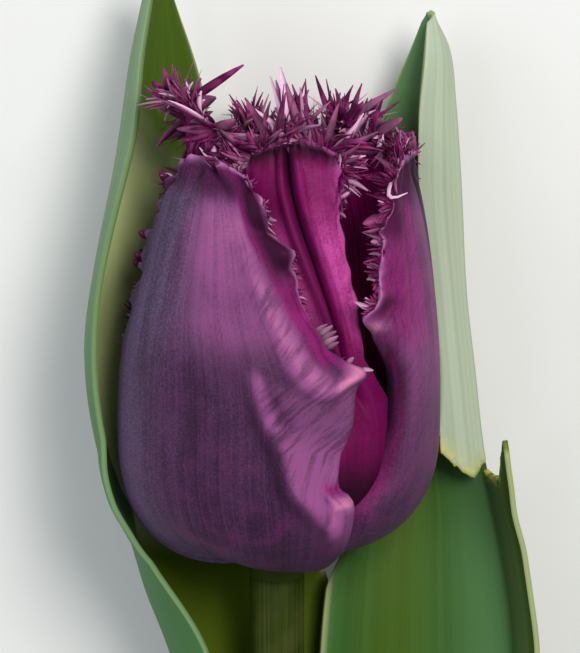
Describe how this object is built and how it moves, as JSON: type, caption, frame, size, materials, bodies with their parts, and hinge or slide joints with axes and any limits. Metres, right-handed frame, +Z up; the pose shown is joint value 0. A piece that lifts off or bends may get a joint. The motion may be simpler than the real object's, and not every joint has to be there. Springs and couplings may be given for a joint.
{
  "type": "fringed tulip",
  "caption": "Cut fringed tulip lying on its back: a half-open cup of purple petals edged with fine needles, on a curved green stem between long folded leaves.",
  "frame": {"origin": "on the table, under the middle of the whole flower's bounding box", "axes": "+Y along the flower from the stem's cut end to the petals' tips, +Z up off the table, +X to the right of someone who looks down on it with the tips away from them"},
  "size_m": [0.067, 0.2448, 0.0477],
  "materials": {
    "stem": "satin",
    "leaf": "satin",
    "outer_petal": "satin",
    "inner_petal": "satin",
    "pistil": "satin",
    "stamen": "matte"
  },
  "bodies": {
    "root": {"stem": "stem", "leaf_left": "leaf", "leaf_right": "leaf", "outer_petal_front": "outer_petal", "outer_petal_right": "outer_petal", "outer_petal_back": "outer_petal", "inner_petal_front": "inner_petal", "inner_petal_left": "inner_petal", "inner_petal_back": "inner_petal", "pistil": "pistil", "stamen_1": "stamen", "stamen_2": "stamen", "stamen_3": "stamen", "stamen_4": "stamen", "stamen_5": "stamen", "stamen_6": "stamen"}
  },
  "joints": []
}
